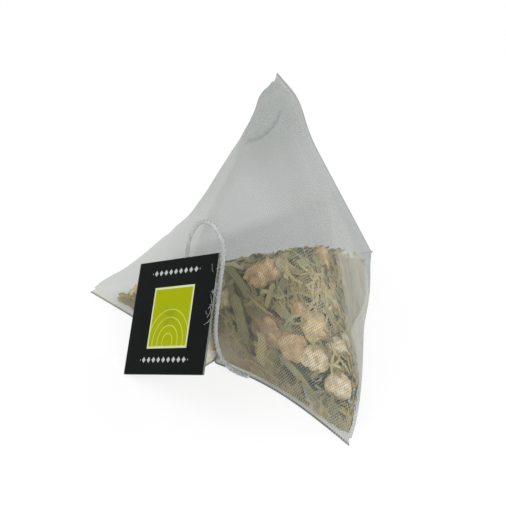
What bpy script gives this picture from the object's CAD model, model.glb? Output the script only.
"""Looks of the pyramid tea bag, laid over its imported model: woven pouch, filling, twisted thread, printed tag.

Metres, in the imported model's own frame. A place on the pouch has two numbers, as in the part's source:
around, from 0 to 1 round the tube (0 right corner, 0.25 seam and tip, 0.5 left corner, 0.75 far corner),
and along, from 0 at the front weld to 1 at the rear one.
"""

import math

import bpy
import numpy as np
from mathutils import Matrix, Vector


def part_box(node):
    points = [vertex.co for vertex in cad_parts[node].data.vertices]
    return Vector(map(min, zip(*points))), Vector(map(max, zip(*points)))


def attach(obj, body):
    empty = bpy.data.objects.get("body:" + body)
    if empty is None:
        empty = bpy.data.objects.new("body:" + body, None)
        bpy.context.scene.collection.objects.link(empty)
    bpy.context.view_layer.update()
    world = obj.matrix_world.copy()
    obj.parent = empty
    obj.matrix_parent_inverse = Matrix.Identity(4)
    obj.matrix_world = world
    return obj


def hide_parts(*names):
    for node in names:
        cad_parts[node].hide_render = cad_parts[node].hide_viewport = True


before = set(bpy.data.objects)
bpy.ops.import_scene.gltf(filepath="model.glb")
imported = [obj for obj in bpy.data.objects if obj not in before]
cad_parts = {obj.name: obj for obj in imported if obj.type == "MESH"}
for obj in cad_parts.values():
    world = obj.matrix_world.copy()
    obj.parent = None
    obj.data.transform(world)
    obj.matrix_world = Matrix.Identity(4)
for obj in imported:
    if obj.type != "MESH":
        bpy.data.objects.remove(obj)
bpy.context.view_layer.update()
MM = 0.001

# ---- Camera ----------------------------------------------------------------------------------------------

AZIMUTH, ELEVATION, ROLL = 38.777, 31.733, 3.231
CAMERA_PLACE = (0.0940, -0.1234, 0.1121)
LENS, SENSOR = 65.25, 36.0


def place_camera():
    """Axes from the two angles it looks along, then turned by the roll about the line of sight."""
    a, e, r = (math.radians(x) for x in (AZIMUTH, ELEVATION, ROLL))
    back = Vector((math.sin(a) * math.cos(e), -math.cos(a) * math.cos(e), math.sin(e)))
    right = Vector((math.cos(a), math.sin(a), 0.0))
    up = back.cross(right)
    level, high = right * math.cos(r) + up * math.sin(r), up * math.cos(r) - right * math.sin(r)
    data = bpy.data.cameras.new("camera")
    data.lens, data.sensor_width, data.sensor_fit = LENS, SENSOR, "HORIZONTAL"
    data.clip_start, data.clip_end = 0.005, 5.0
    camera = bpy.data.objects.new("camera", data)
    camera.matrix_world = Matrix.Translation(CAMERA_PLACE) @ Matrix((level, high, back)).transposed().to_4x4()
    bpy.context.scene.collection.objects.link(camera)
    bpy.context.scene.camera = camera


place_camera()


# ---- Mesh making -----------------------------------------------------------------------------------------


def unit(vectors):
    """Vectors divided by their own length."""
    return vectors / np.maximum(np.linalg.norm(vectors, axis=-1, keepdims=True), 1e-12)


def grid_faces(rows, columns, closed=True):
    """Quads of a grid of points, row by row; closed joins the last column to the first."""
    j, i = np.meshgrid(np.arange(rows - 1), np.arange(columns if closed else columns - 1), indexing="ij")
    k = (i + 1) % columns
    corners = [j * columns + i, j * columns + k, (j + 1) * columns + k, (j + 1) * columns + i]
    return np.stack(corners, -1).reshape(-1, 4)


def grid_map(rows, columns, wide, long):
    """Each quad corner's place on the flat sheet: column share times width, row share times length."""
    j, i = np.meshgrid(np.arange(rows - 1), np.arange(columns), indexing="ij")
    corners = np.stack([np.stack([i + a, j + b], -1) for a, b in ((0, 0), (1, 0), (1, 1), (0, 1))], -2)
    return corners.reshape(-1, 2) * (wide / columns, long / (rows - 1))


def signed_volume(points, quads):
    """Sum of the tetrahedra from the origin to each quad's two triangles; below zero means inside out."""
    a, b, c, d = (points[quads[:, k]] for k in range(4))
    return (np.einsum("ij,ij->i", a, np.cross(b, c)) + np.einsum("ij,ij->i", a, np.cross(c, d))).sum() / 6


def make_piece(name, points, quads, material, caps=(), flat_map=None, marks=None, smooth=True):
    """One piece from its points and quads, turned outwards; caps are the rings that close it at its ends."""
    points = np.asarray(points, float).reshape(-1, 3)
    corner_map = None if flat_map is None else np.asarray(flat_map).reshape(len(quads), 4, 2)
    if signed_volume(points, quads) < 0:
        quads = quads[:, ::-1]
        caps = [ring[::-1] for ring in caps]
        corner_map = None if corner_map is None else corner_map[:, ::-1]
    mesh = bpy.data.meshes.new(name)
    mesh.from_pydata(points.tolist(), [], quads.tolist() + [list(map(int, ring)) for ring in caps])
    mesh.polygons.foreach_set("use_smooth", np.full(len(mesh.polygons), smooth))
    if corner_map is not None:
        sheet = mesh.uv_layers.new(name="sheet")
        laid = np.zeros((len(mesh.loops), 2))
        laid[: corner_map.size // 2] = corner_map.reshape(-1, 2)
        sheet.data.foreach_set("uv", laid.ravel())
    for key, values in (marks or {}).items():
        mark = mesh.attributes.new(key, "FLOAT", "POINT")
        mark.data.foreach_set("value", np.asarray(values, float).ravel())
    mesh.materials.append(material)
    mesh.update()
    piece = bpy.data.objects.new(name, mesh)
    bpy.context.scene.collection.objects.link(piece)
    return piece


def relief(points, size, seed, waves=7):
    """Uneven surface from -1 to 1: a mean of sine waves in random directions, about size long each."""
    random = np.random.default_rng(seed)
    headings = unit(random.normal(size=(waves, 3))) * random.uniform(0.6, 1.5, (waves, 1))
    phases = random.uniform(0, 2 * math.pi, waves)
    return np.sin(np.asarray(points) @ headings.T * (2 * math.pi / size) + phases).sum(-1) / waves**0.5 / 1.3


def carried_frames(path):
    """Tangent and two cross axes at each point of a path; each axis turns no more than the path does."""
    tangent = unit(np.gradient(path, axis=0))
    across = [unit(np.cross(tangent[0], (0.13, 0.61, 0.78)))]
    for ahead in tangent[1:]:
        across.append(unit(across[-1] - ahead * float(across[-1] @ ahead)))
    across = np.array(across)
    return tangent, across, np.cross(tangent, across)


def tube(path, radius, sides):
    """A round profile carried along a path; radius may change from point to point."""
    _, across, over = carried_frames(path)
    turn = np.linspace(0, 2 * math.pi, sides, endpoint=False)
    ring = across[:, None] * np.cos(turn)[None, :, None] + over[:, None] * np.sin(turn)[None, :, None]
    return path[:, None] + ring * np.broadcast_to(np.asarray(radius, float), len(path))[:, None, None]


# ---- Materials -------------------------------------------------------------------------------------------


def linear(code):
    """sRGB hex to linear red, green, blue and a full alpha."""
    values = [int(code[k : k + 2], 16) / 255 for k in (1, 3, 5)]
    return (*(v / 12.92 if v <= 0.04045 else ((v + 0.055) / 1.055) ** 2.4 for v in values), 1.0)


def add(tree, kind, inputs=None, **settings):
    """Adds a node with its settings; inputs maps a socket's name or number to a value or another output."""
    item = tree.nodes.new(kind)
    for key, value in settings.items():
        setattr(item, key, value)
    for key, value in (inputs or {}).items():
        if isinstance(value, bpy.types.NodeSocket):
            tree.links.new(value, item.inputs[key])
        else:
            item.inputs[key].default_value = value
    return item.outputs[0]


def maths(tree, operation, a, b=0.0, clamp=False):
    return add(tree, "ShaderNodeMath", {0: a, 1: b}, operation=operation, use_clamp=clamp)


def graded(tree, share, stops):
    """A colour ramp: stops are pairs of a place from 0 to 1 and an sRGB hex code."""
    output = add(tree, "ShaderNodeValToRGB", {0: share})
    ramp = output.node.color_ramp
    while len(ramp.elements) < len(stops):
        ramp.elements.new(0.5)
    for element, (place, code) in zip(ramp.elements, stops):
        element.position = place
        element.color = linear(code)
    return output


def blended(tree, share, a, b):
    """Colour a where share is 0 and b where it is 1."""
    return add(tree, "ShaderNodeMixRGB", {0: share, 1: a, 2: b})


def new_material(name, sockets):
    """A material whose Principled shader has these plain values; returns it, its tree and its shader."""
    material = bpy.data.materials.new(name)
    material.use_nodes = True
    shader = material.node_tree.nodes["Principled BSDF"]
    for key, value in sockets.items():
        shader.inputs[key].default_value = value
    return material, material.node_tree, shader


def uneven(tree, size, detail=3.0, sides=(1, 1, 1)):
    """Noise on Object coordinates, with a grain of this size in metres, drawn out along the sides given."""
    place = add(tree, "ShaderNodeTexCoord").node.outputs["Object"]
    place = add(tree, "ShaderNodeMapping", {0: place, 3: sides}, vector_type="POINT")
    return add(tree, "ShaderNodeTexNoise", {"Vector": place, "Scale": 1 / size, "Detail": detail})


def bump(tree, shader, height, depth, strength=1.0):
    normal = add(tree, "ShaderNodeBump", {"Height": height, "Distance": depth, "Strength": strength})
    tree.links.new(normal, shader.inputs["Normal"])


def sheet_places(tree):
    """The piece's own map, in metres: across its sheet, and along it."""
    place = add(tree, "ShaderNodeUVMap", uv_map="sheet")
    parts = add(tree, "ShaderNodeSeparateXYZ", {0: place}).node
    return parts.outputs[0], parts.outputs[1]


def mark(tree, name):
    return add(tree, "ShaderNodeAttribute", attribute_name=name).node.outputs["Fac"]


# The real mesh has a thread every 0.2 mm, under a pixel: drawn as coarse as its moire shows
WARP_PITCH, WEFT_PITCH = 0.55 * MM, 0.80 * MM


def woven_nylon():
    """Woven nylon monofilament, heat-set: clear grey threads round open squares, so two layers look denser.

    Where the mesh lies on the filling its threads show one by one; in the empty part two layers blur each other."""
    material, tree, shader = new_material("woven nylon mesh", {"Roughness": 0.5, "IOR": 1.53, "Specular IOR Level": 0.25})
    across, along = sheet_places(tree)
    warp = maths(tree, "SINE", maths(tree, "MULTIPLY", across, 2 * math.pi / WARP_PITCH))
    weft = maths(tree, "SINE", maths(tree, "MULTIPLY", along, 2 * math.pi / WEFT_PITCH))
    # The moire comes and goes in patches about 12 mm long
    patch = add(tree, "ShaderNodeMapRange", {0: uneven(tree, 12 * MM, 0.0), 1: 0.35, 2: 0.62, 3: 0.45, 4: 1.0})
    patch = maths(tree, "MULTIPLY", patch, mark(tree, "filled"))
    # The threads' crossings stand out light, and the holes between them let the filling's dark through
    weave = maths(tree, "ADD", maths(tree, "MULTIPLY", maths(tree, "MULTIPLY", warp, weft), 0.9), 0.5, clamp=True)
    crossing = maths(tree, "MULTIPLY", maths(tree, "SUBTRACT", weave, 0.5), patch)
    cover = maths(tree, "ADD", maths(tree, "MULTIPLY", crossing, 0.75), mark(tree, "cover"), clamp=True)
    tree.links.new(cover, shader.inputs["Alpha"])
    thread = graded(tree, maths(tree, "ADD", crossing, 0.5), [(0.0, "#303836"), (0.5, "#5D6965"), (1.0, "#B8C0B6")])
    milky = blended(tree, mark(tree, "milk"), thread, linear("#D8D3C3"))
    tree.links.new(blended(tree, mark(tree, "melted"), milky, linear("#2B312F")), shader.inputs["Base Color"])
    bump(tree, shader, crossing, 0.08 * MM)
    return material


def cut_leaf():
    """Dried lemongrass leaf, machine-cut: matt olive, khaki and straw scraps with a fine lengthwise grain."""
    material, tree, shader = new_material("dried cut leaf", {"Roughness": 0.86, "IOR": 1.45, "Specular IOR Level": 0.2})
    tone = mark(tree, "tone")
    colour = graded(tree, tone, [
        (0.0, "#5E4A2C"), (0.2, "#937A4C"), (0.38, "#AD9762"), (0.55, "#C6AF76"),
        (0.7, "#D8C08A"), (0.85, "#E8D4A0"), (1.0, "#F4E8C2"),
    ])
    grain = uneven(tree, 0.5 * MM)
    patches = uneven(tree, 2.4 * MM)
    darker = blended(tree, maths(tree, "MULTIPLY", grain, 0.4), colour, linear("#7A6840"))
    green = blended(tree, maths(tree, "MULTIPLY", patches, 0.2), darker, linear("#8E9668"))
    warm = add(tree, "ShaderNodeMapRange", {0: uneven(tree, 6 * MM, 1.0), 1: 0.5, 2: 0.66, 3: 0.0, 4: 0.4})
    cool = add(tree, "ShaderNodeMapRange", {0: uneven(tree, 7 * MM, 1.0), 1: 0.48, 2: 0.36, 3: 0.0, 4: 0.45})
    tanned = blended(tree, warm, green, linear("#BFA682"))
    tree.links.new(blended(tree, cool, tanned, linear("#87907A")), shader.inputs["Base Color"])
    bump(tree, shader, grain, 0.15 * MM)
    return material


def dried_ginger():
    """Dried ginger root, diced: chalky cream to peach flesh, fibrous and pitted, with tan rind at the edges."""
    material, tree, shader = new_material("dried ginger dice", {"Roughness": 0.78, "IOR": 1.45, "Specular IOR Level": 0.25})
    tone = mark(tree, "tone")
    flesh = graded(tree, tone, [(0.0, "#A87A44"), (0.3, "#D2A76C"), (0.6, "#EDD89F"), (1.0, "#FFF6E0")])
    pits = uneven(tree, 1.1 * MM, 5.0)
    fibres = uneven(tree, 0.45 * MM, 2.0, (1, 0.35, 1))
    pitted = graded(tree, pits, [(0.32, "#A87C52"), (0.50, "#E8CFA6"), (0.62, "#FFFFFF")])
    colour = add(tree, "ShaderNodeMixRGB", {0: 0.7, 1: flesh, 2: pitted}, blend_type="MULTIPLY")
    colour = blended(tree, maths(tree, "MULTIPLY", fibres, 0.35), colour, linear("#FBF0D4"))
    tree.links.new(colour, shader.inputs["Base Color"])
    bump(tree, shader, maths(tree, "ADD", pits, maths(tree, "MULTIPLY", fibres, 0.5)), 0.4 * MM)
    return material


def lemongrass_blade():
    """Dried lemongrass blade: straw to grey-green, satin, with veins along it about 0.25 mm apart."""
    material, tree, shader = new_material("dried lemongrass blade", {"Roughness": 0.6, "IOR": 1.45, "Specular IOR Level": 0.3})
    across, _ = sheet_places(tree)
    tone = mark(tree, "tone")
    colour = graded(tree, tone, [(0.0, "#94966A"), (0.45, "#BDB17C"), (1.0, "#E0D09E")])
    veins = maths(tree, "SINE", maths(tree, "MULTIPLY", across, 2 * math.pi / (0.25 * MM)))
    streaks = uneven(tree, 1.6 * MM)
    shade = maths(tree, "MULTIPLY", maths(tree, "ADD", maths(tree, "MULTIPLY", veins, 0.2), streaks), 0.7)
    tree.links.new(blended(tree, shade, colour, linear("#8A8056")), shader.inputs["Base Color"])
    bump(tree, shader, veins, 0.05 * MM)
    return material


def cotton():
    """Bleached two-ply cotton thread: matt white with a soft sheen, grey where the fibres part."""
    material, tree, shader = new_material("twisted cotton", {
        "Roughness": 0.9, "Specular IOR Level": 0.15, "Sheen Weight": 0.35, "Sheen Roughness": 0.5,
    })
    around, along = sheet_places(tree)
    slant = maths(tree, "ADD", maths(tree, "MULTIPLY", around, 9.0), along)
    fibre = maths(tree, "SINE", maths(tree, "MULTIPLY", slant, 2 * math.pi / (0.35 * MM)))
    share = maths(tree, "ADD", maths(tree, "MULTIPLY", fibre, 0.22), uneven(tree, 0.6 * MM), clamp=True)
    colour = graded(tree, share, [(0.2, "#D6DADA"), (0.5, "#F0F2F2"), (0.85, "#FFFFFF")])
    tree.links.new(colour, shader.inputs["Base Color"])
    bump(tree, shader, fibre, 0.03 * MM)
    return material


PANEL_MIDDLE, PANEL_SIZE = (0.3 * MM, -0.25 * MM), (11.9 * MM, 11.5 * MM)


def printed_card():
    """Offset print on coated card: near-black with a soft shine, and a lime field in a pale frame.

    The field carries plain ripples, and a row of lozenges stands above and below it."""
    material, tree, shader = new_material("printed coated card", {"Roughness": 0.5, "IOR": 1.5, "Specular IOR Level": 0.03})
    x, y = sheet_places(tree)

    def outside(wide, high, middle=(0.0, 0.0)):
        """Below 0 inside a rectangle of this size, above 0 outside it, in metres."""
        dx = maths(tree, "SUBTRACT", maths(tree, "ABSOLUTE", maths(tree, "SUBTRACT", x, middle[0])), wide / 2)
        dy = maths(tree, "SUBTRACT", maths(tree, "ABSOLUTE", maths(tree, "SUBTRACT", y, middle[1])), high / 2)
        return maths(tree, "MAXIMUM", dx, dy)

    def inked(distance, soft=0.05 * MM):
        """1 where the distance is below 0, 0 where it is above, with a soft edge."""
        return maths(tree, "SUBTRACT", 0.5, maths(tree, "DIVIDE", distance, soft), clamp=True)

    wear = uneven(tree, 5 * MM)
    black = blended(tree, wear, linear("#0B0E0D"), linear("#141716"))
    frame_ink = inked(outside(*PANEL_SIZE, PANEL_MIDDLE))
    field_ink = inked(outside(PANEL_SIZE[0] - 0.8 * MM, PANEL_SIZE[1] - 0.8 * MM, PANEL_MIDDLE))
    # Ripples: rings round a point under the field, 1.5 mm apart and 0.22 mm wide
    dx = maths(tree, "SUBTRACT", x, PANEL_MIDDLE[0])
    dy = maths(tree, "ADD", maths(tree, "SUBTRACT", y, PANEL_MIDDLE[1]), PANEL_SIZE[1] / 2 - 1.2 * MM)
    ring = maths(tree, "SQRT", maths(tree, "ADD", maths(tree, "MULTIPLY", dx, dx), maths(tree, "MULTIPLY", dy, dy)))
    off_ring = maths(tree, "ABSOLUTE", maths(tree, "PINGPONG", ring, 0.75 * MM))
    ripple = inked(maths(tree, "SUBTRACT", off_ring, 0.11 * MM))
    ripple = maths(tree, "MULTIPLY", ripple, maths(tree, "LESS_THAN", ring, 6.4 * MM))
    # Lozenges: 1.5 mm apart, in two rows
    rows = maths(tree, "MINIMUM",
                 maths(tree, "ABSOLUTE", maths(tree, "SUBTRACT", y, 8.3 * MM)),
                 maths(tree, "ABSOLUTE", maths(tree, "ADD", y, 8.1 * MM)))
    step = maths(tree, "PINGPONG", x, 0.75 * MM)
    lozenge = inked(maths(tree, "SUBTRACT", maths(tree, "ADD", step, rows), 0.55 * MM))
    lozenge = maths(tree, "MULTIPLY", lozenge, inked(outside(14.3 * MM, 30 * MM)))
    colour = blended(tree, maths(tree, "MULTIPLY", lozenge, 0.8), black, linear("#BFC4C0"))
    colour = blended(tree, frame_ink, colour, linear("#C6CA9E"))
    lime = blended(tree, maths(tree, "MULTIPLY", ripple, 0.6), linear("#979F04"), linear("#C9CD6A"))
    colour = blended(tree, field_ink, colour, lime)
    tree.links.new(colour, shader.inputs["Base Color"])
    bump(tree, shader, uneven(tree, 0.4 * MM), 0.01 * MM)
    return material


def cut_card():
    """The card's cut edge: grey board under the black print, matt and a little fibrous."""
    material, tree, shader = new_material("cut card edge", {"Roughness": 0.85, "Specular IOR Level": 0.15})
    grain = uneven(tree, 0.3 * MM)
    tree.links.new(graded(tree, grain, [(0.3, "#55574F"), (0.7, "#84867E")]), shader.inputs["Base Color"])
    return material


# ---- Thread ----------------------------------------------------------------------------------------------

# Welded to the pouch under the front weld's right half, looped once over the top, folded behind the tag,
# up again beside itself and onto the back of the card: the points of the part's source
THREAD_DIAMETER = 0.0008
THREAD_ROUTE = np.array([
    (0.0096, -0.0176, 0.0009), (0.0074, -0.0181, 0.0009), (0.0052, -0.0185, 0.0014), (0.0033, -0.0185, 0.0028),
    (0.0019, -0.0182, 0.0050), (0.0010, -0.0177, 0.0078), (0.0006, -0.0169, 0.0126), (0.0003, -0.0160, 0.0177),
    (0.0001, -0.0152, 0.0212), (-0.0005, -0.0146, 0.0237), (-0.0016, -0.0142, 0.0256), (-0.0038, -0.0137, 0.0267),
    (-0.0064, -0.0135, 0.0265), (-0.0083, -0.0137, 0.0249), (-0.0092, -0.0143, 0.0223), (-0.0091, -0.0151, 0.0195),
    (-0.0087, -0.0160, 0.0164), (-0.0079, -0.0170, 0.0123), (-0.0072, -0.0180, 0.0085), (-0.0079, -0.0192, 0.0060),
    (-0.0099, -0.0199, 0.0050), (-0.0120, -0.0199, 0.0064), (-0.0131, -0.0196, 0.0096), (-0.0130, -0.0192, 0.0130),
    (-0.0118, -0.0190, 0.0154), (-0.0097, -0.0190, 0.0156), (-0.0080, -0.0194, 0.0136), (-0.0066, -0.0200, 0.0104),
    (-0.0052, -0.0207, 0.0072), (-0.0034, -0.0210, 0.0048), (-0.0012, -0.0202, 0.0042), (0.0001, -0.0191, 0.0056),
    (0.0001, -0.0186, 0.0080), (-0.0003, -0.0178, 0.0127), (-0.0006, -0.0169, 0.0178), (-0.0008, -0.0172, 0.0205),
    (-0.0010, -0.0191, 0.0212), (-0.0025, -0.0212, 0.0197), (-0.0048, -0.0228, 0.0162),
])


def smooth_route(points, step):
    """Catmull-Rom curve through the points, taken again at even steps."""
    ends = np.concatenate([[2 * points[0] - points[1]], points, [2 * points[-1] - points[-2]]])
    share = np.linspace(0, 1, 12, endpoint=False)[None, :, None]
    a, b, c, d = (ends[k : len(ends) - 3 + k][:, None] for k in range(4))
    curve = 0.5 * (2 * b + (c - a) * share + (2 * a - 5 * b + 4 * c - d) * share**2
                   + (3 * b - a - 3 * c + d) * share**3)
    curve = np.concatenate([curve.reshape(-1, 3), points[-1:]])
    walked = np.concatenate([[0], np.cumsum(np.linalg.norm(np.diff(curve, axis=0), axis=1))])
    even = np.linspace(0, walked[-1], int(walked[-1] / step) + 1)
    return np.stack([np.interp(even, walked, curve[:, k]) for k in range(3)], -1), walked[-1]


def twisted_thread(material):
    """Two round plies, each a quarter of the diameter off the route's line, winding round it every 1.7 mm."""
    route, length = smooth_route(THREAD_ROUTE, 0.14 * MM)
    _, across, over = carried_frames(route)
    turn = np.arange(len(route)) * (0.14 / 1.7) * 2 * math.pi
    points, quads, flat, caps = [], [], [], []
    sides = 8
    for ply in range(2):
        angle = (turn + ply * math.pi)[:, None]
        path = route + (across * np.cos(angle) + over * np.sin(angle)) * THREAD_DIAMETER * 0.21
        rings = tube(path, THREAD_DIAMETER * 0.35, sides)
        start = len(points) * len(route) * sides
        points.append(rings.reshape(-1, 3))
        quads.append(grid_faces(len(route), sides) + start)
        flat.append(grid_map(len(route), sides, 0.0013, length))
        last = start + (len(route) - 1) * sides
        caps += [list(range(start, start + sides))[::-1], list(range(last, last + sides))]
    quads = np.concatenate(quads)
    piece = make_piece("twisted_thread", np.concatenate(points), quads, material, caps, np.concatenate(flat))
    return piece, route, length


# ---- Pouch -----------------------------------------------------------------------------------------------

TUBE_WIDTH, TUBE_LENGTH = 0.068, 0.0568
WELD_WIDTH, WELD_THICKNESS = 0.0016, 0.0008
FLATNESS_AT_WELDS, FLATNESS_HALFWAY = 6.0, 3.2
FOLD_DRAW, FOLD_SWELL = 0.0037, 0.0033
FRONT_ARCH, FRONT_LOBE, NOTCH = 0.0024, 0.0030, 0.0035
TIP_EAR, TIP_SPREAD = 0.0015, 0.0010
SEAM_WIDTH, SEAM_RISE = 0.0026, 0.00025
SEAM_AROUND = 0.269  # the lap runs up the front a little to the left of its middle
SEAM_SWAY = 0.032  # and lies this much further round in its lower half
HALF = TUBE_WIDTH / 2
SPAN = math.sqrt(TUBE_LENGTH**2 - HALF**2)
TILT = math.atan2(HALF, SPAN)
AXIS = np.array([0.0, math.cos(TILT), math.sin(TILT)])
RISE = np.array([0.0, -math.sin(TILT), math.cos(TILT)])
FRONT_MIDDLE = np.array([0.0, -TUBE_LENGTH / 3, 0.0])


def bell(value, middle, width):
    return np.exp(-(((value - middle) / width) ** 2))


def ramp(value, low, high):
    share = np.clip((value - low) / (high - low), 0.0, 1.0)
    return share * share * (3.0 - 2.0 * share)


def section_table(rows=401, columns=97):
    """Quarter sections of the tube at even steps along it, at even steps of length walked round each."""
    along = np.linspace(0, 1, rows)[:, None]
    angle = np.linspace(0, math.pi / 2, 161)[None, :]
    least = WELD_THICKNESS / 2
    wide = np.maximum(HALF * (1 - along), least)
    high = np.maximum(HALF * along, least)
    swell = np.maximum(np.sin(math.pi * along), 0.0) ** 0.7
    flatness = FLATNESS_AT_WELDS + (FLATNESS_HALFWAY - FLATNESS_AT_WELDS) * swell
    side = np.clip(np.cos(angle), 0, 1) ** (2 / flatness)
    up = np.clip(np.sin(angle), 0, 1) ** (2 / flatness)
    free = (along * TUBE_LENGTH > WELD_WIDTH) & (along * TUBE_LENGTH < TUBE_LENGTH - WELD_WIDTH)
    for _ in range(4):
        steps = np.hypot(np.diff(wide * side, axis=1), np.diff(high * up, axis=1))
        girth = steps.sum(1, keepdims=True)
        wide, high = (np.where(free, size * HALF / girth, size) for size in (wide, high))
    walked = np.concatenate([np.zeros((rows, 1)), np.cumsum(steps, axis=1)], 1) / girth
    even = np.linspace(0, 1, columns)
    across = np.stack([np.interp(even, w, a) for w, a in zip(walked, wide * side)])
    rise = np.stack([np.interp(even, w, a) for w, a in zip(walked, high * up)])
    return across, rise


SECTION_ACROSS, SECTION_RISE = section_table()


def looked_up(table, row, column):
    """The table's value between its entries, in proportion to the four nearest."""
    j = np.minimum(row.astype(int), table.shape[0] - 2)
    i = np.minimum(column.astype(int), table.shape[1] - 2)
    b, a = row - j, column - i
    return ((table[j, i] * (1 - a) + table[j, i + 1] * a) * (1 - b)
            + (table[j + 1, i] * (1 - a) + table[j + 1, i + 1] * a) * b)


def film(around, along, lift=0.0):
    """The pouch's surface: a rounded oblong of constant girth, widest across at the front weld and highest at
    the rear one, carried along the slanting middle line, then drawn in, arched and pinched as the real bag."""
    around, along = np.broadcast_arrays(np.mod(around, 1.0), np.clip(along, 0.0, 1.0))
    quadrant = np.minimum((around * 4).astype(int), 3)
    share = around * 4 - quadrant
    share = np.where(quadrant % 2 == 0, share, 1 - share)
    row, column = along * (SECTION_ACROSS.shape[0] - 1), share * (SECTION_ACROSS.shape[1] - 1)
    x = looked_up(SECTION_ACROSS, row, column) * np.where((quadrant == 0) | (quadrant == 3), 1, -1)
    n = (looked_up(SECTION_RISE, row, column) + lift) * np.where(quadrant < 2, 1, -1)
    n = np.maximum(n, -HALF * along)
    middle = FRONT_MIDDLE + along[..., None] * SPAN * AXIS
    point = middle + x[..., None] * (1.0, 0.0, 0.0) + n[..., None] * RISE

    draw = FOLD_DRAW * bell(around, 0.5 - along / 4, 0.09) * np.sin(math.pi * along**0.8) * ramp(along, 0, 0.18)
    draw = draw - FOLD_SWELL * bell(around, 1 - along / 4, 0.062) * bell(along, 0.78, 0.22)
    point = point + unit(middle - point) * draw[..., None]

    reach = n / HALF
    point = point + AXIS * (TIP_EAR * bell(reach, 0.74, 0.22) * ramp(along, 0.90, 1.0))[..., None]
    spread = bell(reach, 0.92, 0.20) * bell(along, 0.94, 0.05) * ramp(np.abs(x), WELD_THICKNESS / 2, 0.0025)
    px = point[..., 0] + np.copysign(TIP_SPREAD * spread, x)
    py, pz = point[..., 1], point[..., 2]

    right, left = np.clip(px / HALF, 0, 1), np.clip(-px / HALF, 0, 1)
    near = bell(along, 0.0, 0.06)
    py = py + FRONT_ARCH * np.sin(math.pi * right**0.85) * bell(along, 0.0, 0.16)
    py = py - np.where(left > 0.001, FRONT_LOBE * bell(left, 0.12, 0.22) * near, 0.0)
    px = px + np.where(left > 0.001, 0.8 * FRONT_LOBE * bell(left, 0.06, 0.07) * near, 0.0)
    py = py + NOTCH * bell(right - left, 0.0, 0.03) * near
    return np.stack([px, py, np.maximum(pz, 0.0)], -1)


def inwards_at(around, along):
    """The film's own normal into the pouch: across the two ways to go on it, half a millimetre each side."""
    step = 0.006
    sideways = film(around + step, along) - film(around - step, along)
    onwards = film(around, along + step) - film(around, along - step)
    return unit(np.cross(sideways, onwards))


def under_film(around, along, depth):
    """A place under the film: its point on the film moved inwards."""
    return film(around, along) + inwards_at(around, along) * np.asarray(depth)[..., None]


def ladder(ring, start):
    """Quads between the two sides of a flat ring, from the corner at start to the one opposite."""
    count = len(ring)
    k = np.arange(count // 2)
    return np.stack([ring[(start + k) % count], ring[(start + k + 1) % count],
                     ring[(start - k - 1) % count], ring[(start - k) % count]], -1)[1:-1]


POUCH_COLUMNS, POUCH_ROWS = 480, 200
# Where the film is creased under the tip, as places around and along
CREASE = np.array([(0.267, 0.758), (0.256, 0.771), (0.243, 0.792), (0.233, 0.825), (0.228, 0.865), (0.229, 0.895)])


def crease(around, along):
    """1 on the creased line and 0 from half a millimetre beside it on."""
    places = np.stack([around * 2 * TUBE_WIDTH, along * TUBE_LENGTH], -1)
    line = CREASE * (2 * TUBE_WIDTH, TUBE_LENGTH)
    nearest = np.full(around.shape, 1.0)
    for start, stop in zip(line, line[1:]):
        way = stop - start
        share = np.clip(((places - start) @ way) / (way @ way), 0, 1)
        nearest = np.minimum(nearest, np.linalg.norm(places - start - share[..., None] * way, axis=-1))
    return 1 - ramp(nearest, 0.05 * MM, 0.6 * MM)


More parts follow.
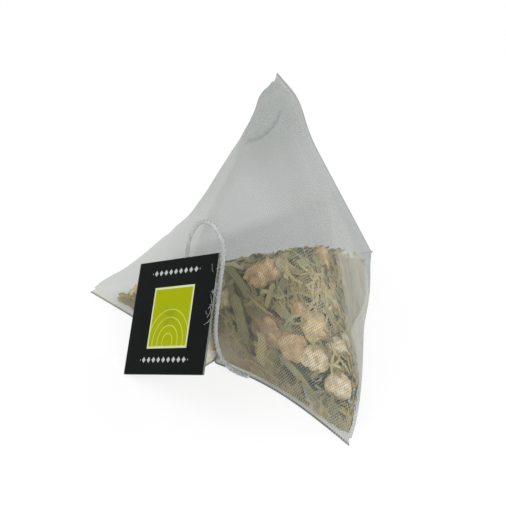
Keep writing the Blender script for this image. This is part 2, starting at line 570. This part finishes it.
def pouch(material):
    """The film on a grid, with a raised lap along the seam and shallow waves in the empty part of the bag."""
    around, along = np.meshgrid(np.arange(POUCH_COLUMNS) / POUCH_COLUMNS, np.linspace(0, 1, POUCH_ROWS))
    seam = SEAM_AROUND + SEAM_SWAY * (1 - ramp(along, 0.44, 0.70))
    off_seam = np.abs(around - seam) * 2 * TUBE_WIDTH
    lap = 1 - ramp(off_seam, SEAM_WIDTH / 2 - 0.4 * MM, SEAM_WIDTH / 2)
    points = film(around, along, SEAM_RISE * lap)
    from_weld = np.minimum(along, 1 - along) * TUBE_LENGTH
    loose = ramp(points[..., 2], 0.004, 0.02) * ramp(from_weld, 0.001, 0.008)
    wave = relief(points * (1, 0.6, 0.5), 13 * MM, 3) * 0.28 * MM + relief(points, 5 * MM, 4) * 0.07 * MM
    wave = wave + 0.45 * MM * crease(around, along)
    points = points + inwards_at(around, along) * (np.maximum(wave, -0.15 * MM) * loose)[..., None]
    # Gathers run away from each weld and die out within 5 mm
    gather = np.sin(around * 2 * math.pi * 46 + 2.0 * np.sin(around * 31)) * np.exp(-from_weld / 0.0022)
    points = points - inwards_at(around, along) * (gather * ramp(from_weld, 0.0012, 0.0022) * 0.10 * MM)[..., None]
    points[..., 2] = np.maximum(points[..., 2], 0.06 * MM)

    weld = 1 - ramp(from_weld, 0.8 * MM, 1.1 * MM)
    hem = 1 - ramp(from_weld, 0.35 * MM, 0.6 * MM)
    low = 1 - ramp(along, 0.4, 0.6)
    knurl = low * (0.5 + 0.5 * np.sin(around * 2 * TUBE_WIDTH * 2 * math.pi / (0.6 * MM)))
    # Fine dust from the ginger clings to the film beside the fold that leads to the far corner
    past_fold = (around + 0.5) % 1.0 - 0.5
    edge = -0.01 + 0.08 * ramp(along, 0.12, 0.4)
    dusty = ramp(past_fold, -0.20, -0.14) * (1 - ramp(past_fold, edge - 0.05, edge)) * (1 - ramp(along, 0.80, 0.95))
    sheet = np.stack([past_fold * 2 * TUBE_WIDTH, along * TUBE_LENGTH * 0.12, 0 * along], -1)
    streaks = 0.9 + 0.07 * relief(sheet, 5 * MM, 12)
    left = ramp(around, seam + 0.005, seam + 0.02) * (1 - ramp(around, 0.52, 0.56))
    filled = 1 - ramp(points[..., 2] - fill_plane(points), -1.0 * MM, 1.5 * MM)
    front = 1 - ramp(np.abs(past_fold - 0.12), 0.16, 0.20)
    folded_tip = ramp(along, 0.72, 0.86) * left
    cover = 0.43 - 0.10 * filled * front - 0.04 * left - 0.11 * ramp(around, 0.34, 0.46) * left + 0.12 * folded_tip
    corner = bell(around, 0.235, 0.05) * (1 - 0.75 * ramp(along, 0.07, 0.17)) * (1 - ramp(along, 0.25, 0.35))
    beside_weld = 1 - ramp(along, 0.03, 0.09)
    # The bulge beside the tag is seen nearly edge-on, and looks white
    bulge = bell(around, 0.262, 0.016) * (1 - ramp(along, 0.25, 0.36))
    blurred_lap = 1 - ramp(off_seam, 0.4 * MM, 2.6 * MM)
    cover = cover + 0.03 * lap + 0.07 * blurred_lap + 0.10 * weld * low + 0.4 * hem * knurl
    cover = cover + 0.25 * dusty * filled * streaks + 0.08 * corner + 0.06 * beside_weld + 0.35 * bulge
    cover = cover + 0.16 * crease(around, along)
    milk = 0.15 * blurred_lap + 0.25 * weld * (1 - hem) + dusty * (0.2 + 0.4 * filled) * streaks
    milk = milk + 0.6 * corner + 0.25 * beside_weld + 0.15 * left + 0.4 * bulge
    shown_weave = (1 - 0.7 * dusty) * (1 - 0.8 * corner) * (0.4 + 0.6 * bell(past_fold, 0.12, 0.08))
    quads = grid_faces(POUCH_ROWS, POUCH_COLUMNS)
    ring = np.arange(POUCH_COLUMNS)
    front = ladder(ring, 0)[:, ::-1]
    rear = ladder(ring + (POUCH_ROWS - 1) * POUCH_COLUMNS, POUCH_COLUMNS // 4)
    flat = grid_map(POUCH_ROWS, POUCH_COLUMNS, 2 * TUBE_WIDTH, TUBE_LENGTH)
    return make_piece("woven_pouch", points, quads, material, np.concatenate([front, rear]).tolist(), flat,
                      {"cover": cover, "milk": np.clip(milk, 0, 1), "melted": hem * knurl,
                       "filled": 0.16 + 0.84 * filled * shown_weave})


# ---- Filling ---------------------------------------------------------------------------------------------

FILL_LEVEL, FILL_RISE_X, FILL_RISE_Y = 0.0145, 0.63, -0.42
CORE_CENTRE = np.array([0.009, -0.001, 0.008])


def node_points(name):
    """The corners of a CAD node, and its triangles as three corner points each."""
    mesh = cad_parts[name].data
    points = np.empty(len(mesh.vertices) * 3)
    mesh.vertices.foreach_get("co", points)
    mesh.calc_loop_triangles()
    corners = np.empty(len(mesh.loop_triangles) * 3, int)
    mesh.loop_triangles.foreach_get("vertices", corners)
    points = points.reshape(-1, 3)
    return points, points[corners.reshape(-1, 3)]


def cast(origins, headings, triangles):
    """Distance from each origin along its heading to the first triangle, or infinity."""
    a, ab, ac = triangles[:, 0], triangles[:, 1] - triangles[:, 0], triangles[:, 2] - triangles[:, 0]
    p = np.cross(headings[:, None], ac[None])
    scale = np.einsum("rtk,tk->rt", p, ab)
    scale = np.where(np.abs(scale) < 1e-18, np.nan, scale)
    t = origins[:, None] - a[None]
    u = np.einsum("rtk,rtk->rt", t, p) / scale
    q = np.cross(t, ab[None])
    v = np.einsum("rtk,rk->rt", q, headings) / scale
    far = np.einsum("rtk,tk->rt", q, ac) / scale
    hit = (u >= -1e-6) & (v >= -1e-6) & (u + v <= 1 + 1e-6) & (far > 0)
    return np.where(hit, far, np.inf).min(1)


def fill_plane(points):
    return FILL_LEVEL + FILL_RISE_X * points[..., 0] + FILL_RISE_Y * points[..., 1]


def film_reach(rows=121, columns=240):
    """How far the film lies from the filling's middle: rows by tilt from +Z, columns by turn round it.

    Half a million places on the film are sorted by heading, and the nearest counts for each."""
    around, along = np.meshgrid(np.arange(1200) / 1200, np.linspace(0, 1, 400))
    offset = (film(around, along) - CORE_CENTRE).reshape(-1, 3)
    away = np.linalg.norm(offset, axis=1)
    row = np.rint(np.arccos(offset[:, 2] / away) / math.pi * (rows - 1)).astype(int)
    column = np.rint(np.arctan2(offset[:, 1], offset[:, 0]) / (2 * math.pi) * columns).astype(int) % columns
    reach = np.full((rows, columns), np.inf)
    np.minimum.at(reach, (row, column), away)
    while np.isinf(reach).any():
        above, below = np.vstack([reach[:1], reach[:-1]]), np.vstack([reach[1:], reach[-1:]])
        beside = np.min([np.roll(reach, 1, 1), np.roll(reach, -1, 1), above, below], 0)
        reach = np.where(np.isinf(reach), beside, reach)
    return np.concatenate([reach, reach[:, :1]], 1)


FILM_REACH = film_reach()


FAR_FOLD = np.array([0.79, 0.61, 0.0])  # heading of the fold that leads to the far corner


def held_in(points, gap, wider=0.0):
    """Points moved straight towards the filling's middle, as far as it takes to lie this gap within the film.

    Towards the fold that leads to the far corner the gap grows by the wider one, as the leaf doesn't reach it."""
    offset = points - CORE_CENTRE
    away = np.maximum(np.linalg.norm(offset, axis=-1), 1e-9)
    row = np.arccos(np.clip(offset[..., 2] / away, -1, 1)) / math.pi * (FILM_REACH.shape[0] - 1)
    column = np.arctan2(offset[..., 1], offset[..., 0]) % (2 * math.pi) / (2 * math.pi) * (FILM_REACH.shape[1] - 1)
    limit = looked_up(FILM_REACH, row, column) - gap - wider * ramp((offset @ FAR_FOLD) / away, 0.55, 0.85)
    return CORE_CENTRE + offset * np.minimum(1.0, limit / away)[..., None]


def packed_leaf(material):
    """The heap's inside: from its middle outwards to the CAD core's surface, a little past its sides, roughened."""
    _, triangles = node_points("herb_core")
    rows, columns = 90, 170
    tilt = np.linspace(0.02, math.pi - 0.02, rows)[:, None]
    turn = np.linspace(0, 2 * math.pi, columns, endpoint=False)[None, :]
    headings = np.stack([np.sin(tilt) * np.cos(turn), np.sin(tilt) * np.sin(turn), np.cos(tilt) + 0 * turn], -1)
    flat = headings.reshape(-1, 3)
    reach = np.concatenate([cast(np.broadcast_to(CORE_CENTRE, part.shape), part, triangles)
                            for part in np.array_split(flat, 12)])
    reach = np.where(np.isfinite(reach), reach, 0.004)
    surface = CORE_CENTRE + flat * reach[:, None]
    rough = relief(surface, 2.2 * MM, 5) * 0.3 * MM + relief(surface, 0.9 * MM, 6) * 0.35 * MM
    # Down the sides it also stands for the leaf that lies loose in front of the core
    beside = 1.6 * MM * (1 - ramp(flat[:, 2], 0.35, 0.6))
    surface = surface + flat * (rough - 0.3 * MM + beside)[:, None]
    surface = held_in(surface, 1.0 * MM, 2.5 * MM)
    ring = np.arange(columns)
    tone = 0.50 + 0.25 * relief(surface, 2.2 * MM, 8)
    return make_piece("packed_leaf", surface, grid_faces(rows, columns), material,
                      [ring[::-1].tolist(), (ring + (rows - 1) * columns).tolist()], None,
                      {"tone": np.clip(tone, 0.0, 0.85)}, smooth=False)


STATIONS = 5


def scraps(random, count, lengths, widths, thickness):
    """Cut scraps as flat bars: four corners carried along a bowed and tapered line, in their own axes."""
    long, wide = random.uniform(*lengths, count), random.uniform(*widths, count)
    along = np.linspace(-0.5, 0.5, STATIONS)
    taper = 1 - random.uniform(0.0, 0.75, (count, 1)) * np.abs(along * 2) ** random.uniform(1.5, 4, (count, 1))
    bow = random.normal(0, 0.07, (count, 1)) * (along**2) * 4 + random.normal(0, 0.02, (count, 1)) * np.sin(along * 9)
    cup = random.normal(0, 0.10, (count, 1)) * (along**2) * 4
    corner = np.array([(-0.5, -0.5), (0.5, -0.5), (0.5, 0.5), (-0.5, 0.5)])
    shape = np.empty((count, STATIONS, 4, 3))
    ragged = 0.06 * wide[:, None, None] * random.normal(size=(count, STATIONS, 4))
    shape[..., 0] = (along * long[:, None])[..., None] + ragged
    shape[..., 1] = (bow * long[:, None])[..., None] + corner[:, 0] * (wide[:, None] * taper)[..., None]
    shape[..., 2] = (cup * long[:, None])[..., None] + corner[:, 1] * thickness
    return shape


def scrap_faces(count):
    """Quads of each bar's sides, with both of its ends closed."""
    side = grid_faces(STATIONS, 4)
    last = (STATIONS - 1) * 4
    ends = np.array([[3, 2, 1, 0], [last, last + 1, last + 2, last + 3]])
    one = np.concatenate([side, ends])
    return (one[None] + np.arange(count)[:, None, None] * STATIONS * 4).reshape(-1, 4)


SHARE_IN_FRONT = 0.35


def under_the_film(random, shape, nearest, deepest):
    """Lays scraps flat under the film at any place below the filling's top, each bent as the film is."""
    count = len(shape)
    # About a third of them on the front, which shows the most
    in_front = random.uniform(0, 1, count) < SHARE_IN_FRONT
    around = np.where(in_front, (0.33 * random.uniform(0, 1, count) ** 0.7 - 0.03) % 1.0, random.uniform(0, 1, count))
    along = random.uniform(0.03, 0.975, count)
    along = np.where(in_front, 0.018 + 0.58 * along**1.5, along)
    room = 0.75 * HALF * np.minimum(along, 1 - along)
    depth = random.uniform(nearest, deepest, count)
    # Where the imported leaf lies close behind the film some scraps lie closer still: low on the left of the front,
    # and elsewhere but on the front
    close = np.where(in_front, (around > 0.17) & (around < 0.5) & (along < 0.26), random.uniform(0, 1, count) < 0.3)
    depth = np.where(close, random.uniform(0.40 * MM, 1.05 * MM, count), depth)
    depth = np.minimum(depth, room)
    # On the left of the front the scraps have slid down slantwise; elsewhere they lie any way
    slid = random.uniform(0, 1, count) < 0.8 * bell(around, 0.24, 0.07)
    turn = np.where(slid, random.normal(0.75, 0.35, count), random.uniform(0, 2 * math.pi, count))[:, None, None]
    lean = random.normal(0, 0.10, count)[:, None, None]
    x, y, z = shape[..., 0], shape[..., 1] * np.where(slid, 0.5, 1.0)[:, None, None], shape[..., 2]
    across = x * np.cos(turn) - y * np.sin(turn)
    onwards = x * np.sin(turn) + y * np.cos(turn)
    place_around = around[:, None, None] + across / (2 * TUBE_WIDTH)
    place_along = np.clip(along[:, None, None] + onwards / TUBE_LENGTH, 0.016, 0.975)
    sunk = np.maximum(depth[:, None, None] + x * lean + z, 0.35 * MM)
    sunk = np.minimum(sunk, 0.8 * HALF * np.minimum(place_along, 1 - place_along))
    points = under_film(place_around, place_along, sunk)
    middle = points.mean((1, 2))
    kept = (points[..., 2] - fill_plane(points)).max((1, 2)) < random.normal(0.6 * MM, 0.6 * MM, count)
    kept &= (middle[:, 0] > -26.5 * MM) & (points[..., 2].min((1, 2)) > -0.2 * MM)
    kept &= (middle[:, 0] > -17 * MM) | (middle[:, 2] < fill_plane(middle) - 2.0 * MM)
    # None fits into the pinch of the front weld
    kept &= np.linalg.norm(middle[:, :2] - np.array((-0.8, -15.8)) * MM, axis=1) > 2.4 * MM
    for place, normal, reach in SHOWN_DICE:
        beside = middle - place
        nearer = beside @ normal
        kept &= (np.linalg.norm(beside - nearer[:, None] * normal, axis=1) > reach) | (nearer < -1 * MM)
    for place, axes, half in SHOWN_BLADES:
        beside = middle - place
        sight = unit(np.array(CAMERA_PLACE) - place)
        aside = np.abs(beside @ unit(np.cross(axes[0], sight)))
        kept &= (aside > half[1] + 0.9 * MM) | (np.abs(beside @ axes[0]) > half[0]) | (beside @ sight < -1 * MM)
    return held_in(points, 0.35 * MM, 2.2 * MM)[kept]


def on_the_heap(random, shape, name="herb_core"):
    """Strews scraps over the top of a CAD node: dropped straight down onto it, each turned and tipped."""
    points, triangles = node_points(name)
    low, high = points.min(0), points.max(0)
    count = len(shape)
    start = np.stack([random.uniform(low[0], high[0], count), random.uniform(low[1], high[1], count),
                      np.full(count, high[2] + 0.01)], -1)
    drop = np.concatenate([cast(part, np.broadcast_to((0.0, 0.0, -1.0), part.shape), triangles)
                           for part in np.array_split(start, 8)])
    landed = np.isfinite(drop)
    floor = start + np.array((0, 0, -1.0)) * np.where(landed, drop, 0)[:, None]
    turn, tip = random.uniform(0, 2 * math.pi, count), random.normal(0, 0.2, count)
    x = shape[..., 0] * np.cos(tip)[:, None, None] - shape[..., 2] * np.sin(tip)[:, None, None]
    z = shape[..., 0] * np.sin(tip)[:, None, None] + shape[..., 2] * np.cos(tip)[:, None, None]
    c, s = np.cos(turn)[:, None, None], np.sin(turn)[:, None, None]
    slope = FILL_RISE_X * x * c + FILL_RISE_Y * x * s
    laid = np.stack([x * c - shape[..., 1] * s, x * s + shape[..., 1] * c, z + 0.8 * slope], -1)
    lift = (random.uniform(-0.3, 0.7, count) + 1.4 * ramp(relief(start, 9 * MM, 51), 0.0, 1.0)) * MM
    laid = laid + (floor + np.stack([0 * lift, 0 * lift, lift], -1))[:, None, None]
    laid = laid[landed]
    # Towards the left corner the heap thins out
    highest = 2.8 * MM - 3.2 * MM * (1 - ramp(laid[..., 0].mean((1, 2)), -20 * MM, -14 * MM))
    laid = laid[(laid[..., 2] - fill_plane(laid)).max((1, 2)) < highest]
    return held_in(laid, 0.8 * MM, 2.2 * MM)


def cut_leaves(material):
    """Thousands of scraps of leaf, stem and crumb, between the core and the film and over the heap's top."""
    random = np.random.default_rng(21)
    kinds = (
        # count, lengths, widths, thickness, nearest and deepest under the film, tones
        (1800, (2.2 * MM, 6.0 * MM), (0.8 * MM, 1.9 * MM), 0.14 * MM, 0.7 * MM, 4.2 * MM, (0.05, 0.8)),
        (2200, (2.6 * MM, 8.0 * MM), (0.3 * MM, 0.8 * MM), 0.18 * MM, 0.5 * MM, 3.0 * MM, (0.2, 1.0)),
        (700, (3.0 * MM, 7.0 * MM), (0.4 * MM, 0.6 * MM), 0.16 * MM, 0.35 * MM, 1.0 * MM, (0.6, 1.0)),
        (900, (0.7 * MM, 1.7 * MM), (0.5 * MM, 1.1 * MM), 0.25 * MM, 0.4 * MM, 2.5 * MM, (0.0, 0.95)),
    )
    heaps, tones = [], []
    for count, lengths, widths, thickness, nearest, deepest, tone in kinds:
        hidden = under_the_film(random, scraps(random, count, lengths, widths, thickness), nearest, deepest)
        strewn = on_the_heap(random, scraps(random, count // 2, lengths, widths, thickness))
        both = np.concatenate([hidden, strewn])
        heaps.append(both)
        tones.append(np.repeat(random.uniform(*tone, len(both)), STATIONS * 4))
    points = np.concatenate(heaps)
    # Scraps of one colour lie together in drifts about 8 mm across
    drift = 0.5 + 0.5 * relief(points.mean((1, 2)), 8 * MM, 41)
    # and the palest lies on the left of the front
    middle_x = points.mean((1, 2))[:, 0]
    drift = drift + 0.5 * (1 - ramp(middle_x, -1 * MM, 5 * MM)) - 1.1 * (1 - ramp(middle_x, -20 * MM, -14 * MM))
    # and the darkest round the long stem
    drift = drift - 0.7 * (1 - ramp(np.linalg.norm(points.mean((1, 2)) - SHOWN_BLADES[0][0], axis=1), 3 * MM, 8 * MM))
    tone = 0.6 * np.concatenate(tones) + 0.4 * np.repeat(drift, STATIONS * 4) - 0.04
    return make_piece("cut_leaves", points, scrap_faces(len(points)), material, (), None,
                      {"tone": np.clip(tone, 0, 1)}, smooth=False)


def own_axes(name):
    """A node's middle, its axes from longest to shortest, and half its size along each."""
    points, _ = node_points(name)
    middle = (points.max(0) + points.min(0)) / 2
    _, axes = np.linalg.eigh(np.cov((points - middle).T))
    axes = axes[:, ::-1].T
    spread = (points - middle) @ axes.T
    middle = middle + ((spread.max(0) + spread.min(0)) / 2) @ axes
    return middle, axes, (spread.max(0) - spread.min(0)) / 2


SHOWN_BLADES = [own_axes(f"lemongrass_{k:02d}") for k in range(1, 5)]
# How far the scraps keep off each die that the front shows, in halves of the die's length, and how full it is
DICE_ROOM = (1.2, 1.1, 1.25, 1.15, 1.4, 1.35, 1.2, 0.9, 0.9)
DICE_SWELL = (1.14, 1.0, 1.25, 1.0, 1.15, 1.2, 0.85, 1.05, 1.0)
DICE_DENTS = (1.9, 1.0, 0.8, 0.7, 0.35, 0.7, 0.7, 1.9, 1.2)
SHOWN_DICE = [(place, unit(np.array(CAMERA_PLACE) - place), half[0] * room) for room, (place, _, half) in
              ((room, own_axes(f"ginger_{k:02d}")) for k, room in enumerate(DICE_ROOM, 1))]


def ginger_dice(name, number, tone, material):
    """A rounded block within the node's own size: a superellipsoid, broken by dents and fibres."""
    middle, axes, half = own_axes(name)
    rows, columns = 26, 40
    tilt = np.linspace(-math.pi / 2 + 0.05, math.pi / 2 - 0.05, rows)[:, None]
    turn = np.linspace(0, 2 * math.pi, columns, endpoint=False)[None, :]
    shown = number <= len(DICE_SWELL)
    swell, dented = (DICE_SWELL[number - 1], DICE_DENTS[number - 1]) if shown else (1.0, 1.0)
    # The least dented one is a round slice
    power = 1.0 if dented < 0.5 else 0.8

    def rounded(value):
        return np.sign(value) * np.abs(value) ** power

    shape = np.stack([rounded(np.cos(tilt)) * rounded(np.cos(turn)), rounded(np.cos(tilt)) * rounded(np.sin(turn)),
                      rounded(np.sin(tilt)) + 0 * turn], -1)
    half = half * (1.28, 1.30, 1.1) * swell
    dents = 0.14 * relief(shape + number * 3.7, 1.5, number) + 0.07 * relief(shape + number, 0.5, number + 50)
    dents = 0.90 + dented * dents
    points = held_in(middle + (shape * dents[..., None] * half) @ axes, 0.7 * MM)
    if not shown:
        points[..., 2] = np.minimum(points[..., 2], fill_plane(points) + 0.6 * MM)
    ring = np.arange(columns)
    shade = np.clip(tone + 0.16 * dented * relief(points, 2.5 * MM, number + 9), 0, 1)
    return make_piece(f"ginger_dice_{number:02d}", points, grid_faces(rows, columns), material,
                      [ring[::-1].tolist(), (ring + (rows - 1) * columns).tolist()], None, {"tone": shade})


def grass_blade(name, number, material, random):
    """A cupped strip along the node's own line: its middle line is a parabola through the node's corners."""
    points, _ = node_points(name)
    middle, axes, half = own_axes(name)
    local = (points - middle) @ axes.T
    stations, profile = 22, 10
    along = np.linspace(-half[0], half[0], stations)
    bowed = np.polynomial.polynomial.polyfit(local[:, 0], local[:, 2], 2)
    swayed = np.polynomial.polynomial.polyfit(local[:, 0], local[:, 1], 2)
    bow, sway = (np.polynomial.polynomial.polyval(along, c) for c in (bowed, swayed))
    wide = 1.3 * max(np.ptp(local[:, 1] - np.polynomial.polynomial.polyval(local[:, 0], swayed)) / 2, 0.3 * MM)
    thick = 0.16 * MM
    turn = np.linspace(0, 2 * math.pi, profile, endpoint=False)
    end = np.clip((1 - np.abs(along / half[0])) * 6, 0.25, 1) * (1 + 0.08 * np.sin(along * 900 + number))
    x = np.broadcast_to(along[:, None], (stations, profile))
    y = sway[:, None] + np.cos(turn) * wide * end[:, None] * 0.95
    z = bow[:, None] + np.sin(turn) * thick + 0.22 * MM * np.cos(turn) ** 2
    surface = middle + np.stack([x, y, z], -1) @ axes
    surface[..., 2] = np.minimum(surface[..., 2], fill_plane(surface) + 1.4 * MM)
    surface = held_in(surface, 0.7 * MM, 1.5 * MM)
    ring = np.arange(profile)
    tone = np.full(stations * profile, random.uniform(0.05, 0.95))
    return make_piece(f"grass_blade_{number:02d}", surface, grid_faces(stations, profile), material,
                      [ring[::-1].tolist(), (ring + (stations - 1) * profile).tolist()],
                      grid_map(stations, profile, 4 * wide, 2 * half[0]), {"tone": tone})


# ---- Tag -------------------------------------------------------------------------------------------------

TAG_WIDTH, TAG_HEIGHT, TAG_CARD = 0.0238, 0.0216, 0.0004
TAG_YAW, TAG_LEAN, TAG_ROLL = (math.radians(x) for x in (-21.1, 30.5, 35.3))


def tag_frame():
    """The card's middle, and the matrix that leans and turns the card from upright into its place."""
    low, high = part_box("tag")
    turned = (Matrix.Rotation(TAG_YAW, 3, "Z") @ Matrix.Rotation(-TAG_LEAN, 3, "X")
              @ Matrix.Rotation(-TAG_ROLL, 3, "Y"))
    return np.array((low + high) / 2), np.array(turned)


def tag_card(front, edge):
    """A rounded oblong carried through the card's thickness, from the middle of one face to that of the other."""
    middle, turned = tag_frame()
    columns, corner = 200, 400.0
    turn = np.linspace(0, 2 * math.pi, columns, endpoint=False) + 1e-4
    outline = np.stack([np.cos(turn), np.sin(turn)], -1)
    outline = outline / (np.abs(outline) ** corner).sum(-1, keepdims=True) ** (1 / corner)
    outline = outline * (TAG_WIDTH / 2, TAG_HEIGHT / 2)
    shares = np.array([0.002, 0.25, 0.5, 0.75, 0.92, 0.985, 0.997, 1.0, 1.0, 0.997, 0.985, 0.9, 0.5, 0.002])
    depths = np.array([-1, -1, -1, -1, -1, -1, -0.9, -0.55, 0.55, 0.9, 1, 1, 1, 1.0]) * TAG_CARD / 2
    flat = shares[:, None, None] * outline[None]
    local = np.stack([flat[..., 0], np.broadcast_to(depths[:, None], flat.shape[:2]), flat[..., 1]], -1)
    points = middle + local @ turned.T
    quads = grid_faces(len(shares), columns)
    caps = [list(range(columns)), list(range((len(shares) - 1) * columns, len(shares) * columns))[::-1]]
    tag = make_piece("tag_card", points, quads, front, caps, flat.reshape(-1, 2)[quads.ravel()])
    tag.data.materials.append(edge)
    row = np.repeat(np.arange(len(shares) - 1), columns)
    chosen = np.concatenate([((row >= 6) & (row <= 8)).astype(int), [0, 0]])
    tag.data.polygons.foreach_set("material_index", chosen)
    return tag


FIBRE_RADIUS = 0.016 * MM


def card_lint(material, count=15):
    """Stray cotton fibres on the card beside the thread: each a hair-thin tube along a slowly turning curve."""
    random = np.random.default_rng(5)
    middle, turned = tag_frame()
    stations, sides = 9, 3
    heading = random.uniform(0, 2 * math.pi, (count, 1)) + np.cumsum(random.normal(0, 0.35, (count, stations)), 1)
    step = random.uniform(1.0, 3.2, (count, 1)) * MM / stations
    x = np.cumsum(np.cos(heading) * step, 1) + (TAG_WIDTH / 2 + random.normal(0.0, 0.5, (count, 1)) * MM)
    z = np.cumsum(np.sin(heading) * step, 1) + random.uniform(-0.05, 0.40, (count, 1)) * TAG_HEIGHT
    y = -TAG_CARD / 2 - random.uniform(0.10, 0.35, (count, 1)) * MM + 0 * x
    path = np.stack([x, y, z], -1)
    beside = np.stack([-np.sin(heading), 0 * heading, np.cos(heading)], -1)
    turn = np.arange(sides) * 2 * math.pi / sides
    ring = beside[:, :, None] * np.cos(turn)[:, None] + np.array((0.0, 1.0, 0.0)) * np.sin(turn)[:, None]
    points = middle + (path[:, :, None] + FIBRE_RADIUS * ring) @ turned.T
    side = grid_faces(stations, sides)
    first = np.arange(count)[:, None] * stations * sides
    faces = (side[None] + first[:, :, None]).reshape(-1, 4)
    ends = np.concatenate([first + (2, 1, 0), first + (stations - 1) * sides + (0, 1, 2)])
    return make_piece("card_lint", points, faces, material, ends.tolist(), None)


# ---- Stage -----------------------------------------------------------------------------------------------


def stage():
    """Pale floor and soft studio light; the camera sees both floor and background as white."""
    material, tree, shader = new_material("pale floor", {"Base Color": linear("#F1F1F0"), "Roughness": 0.9,
                                                         "Specular IOR Level": 0.1})
    path = add(tree, "ShaderNodeLightPath").node.outputs
    seen = maths(tree, "MAXIMUM", maths(tree, "MAXIMUM", path["Is Camera Ray"], path["Is Glossy Ray"]),
                 path["Is Transmission Ray"])
    glow = add(tree, "ShaderNodeEmission", {0: (1, 1, 1, 1), 1: 1.0})
    mixed = add(tree, "ShaderNodeMixShader", {0: maths(tree, "MULTIPLY", seen, 0.82), 1: shader.outputs[0], 2: glow})
    tree.links.new(mixed, tree.nodes["Material Output"].inputs[0])
    size = 2.0
    mesh = bpy.data.meshes.new("floor")
    mesh.from_pydata([(-size, -size, 0), (size, -size, 0), (size, size, 0), (-size, size, 0)], [], [(0, 1, 2, 3)])
    mesh.materials.append(material)
    floor = bpy.data.objects.new("floor", mesh)
    bpy.context.scene.collection.objects.link(floor)

    world = bpy.data.worlds.new("studio")
    world.use_nodes = True
    tree = world.node_tree
    light = tree.nodes["Background"]
    light.inputs[0].default_value = (0.95, 0.98, 1.0, 1.0)
    light.inputs[1].default_value = 0.55
    white = add(tree, "ShaderNodeBackground", {0: (1, 1, 1, 1), 1: 1.0})
    path = add(tree, "ShaderNodeLightPath").node.outputs
    seen = maths(tree, "MAXIMUM", maths(tree, "MAXIMUM", path["Is Camera Ray"], path["Is Glossy Ray"]),
                 path["Is Transmission Ray"])
    mixed = add(tree, "ShaderNodeMixShader", {0: seen, 1: light.outputs[0], 2: white})
    tree.links.new(mixed, tree.nodes["World Output"].inputs[0])
    bpy.context.scene.world = world

    for name, place, size, power in (
        ("key", (-0.35, -0.55, 0.75), 0.90, 4.4),
        ("fill", (0.65, -0.30, 0.50), 0.60, 3.8),
        ("back", (0.10, 0.70, 0.60), 0.60, 3.0),
    ):
        data = bpy.data.lights.new(name, "AREA")
        data.shape, data.size, data.energy = "DISK", size, power
        lamp = bpy.data.objects.new(name, data)
        lamp.location = place
        lamp.rotation_euler = (Vector((0, 0, 0.02)) - Vector(place)).to_track_quat("-Z", "Y").to_euler()
        bpy.context.scene.collection.objects.link(lamp)
    bpy.context.scene.view_settings.view_transform = "Standard"


# ---- The object ------------------------------------------------------------------------------------------


def settle(piece, slot, *nodes):
    """The piece goes with the object's one body, takes its slot and stands for these CAD nodes."""
    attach(piece, "root")
    if nodes:
        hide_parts(*nodes)
    return piece


thread, thread_path, thread_length = twisted_thread(cotton())
tag = tag_card(printed_card(), cut_card())
settle(thread, "cotton_thread", "thread")
lint = settle(card_lint(thread.data.materials[0]), "cotton_thread")
settle(tag, "tag_card", "tag")

settle(pouch(woven_nylon()), "nylon_mesh", "mesh_pouch")
leaf = cut_leaf()
settle(packed_leaf(leaf), "cut_leaf", "herb_core")
settle(cut_leaves(leaf), "cut_leaf")
ginger = dried_ginger()
# Tone of each die, from salmon-tan at 0 to cream at 1, for the ones that the front shows
DICE_TONES = (0.10, 0.55, 0.32, 0.86, 0.92, 1.0, 0.42, 0.20, 0.42)
for number in range(1, 19):
    tone = DICE_TONES[number - 1] if number <= len(DICE_TONES) else 0.35 + 0.5 * ((number * 7) % 10) / 10
    node = f"ginger_{number:02d}"
    settle(ginger_dice(node, number, tone, ginger), "dried_ginger", node)
grass = lemongrass_blade()
spread = np.random.default_rng(5)
for number in range(1, 31):
    node = f"lemongrass_{number:02d}"
    settle(grass_blade(node, number, grass, spread), "lemongrass", node)
stage()
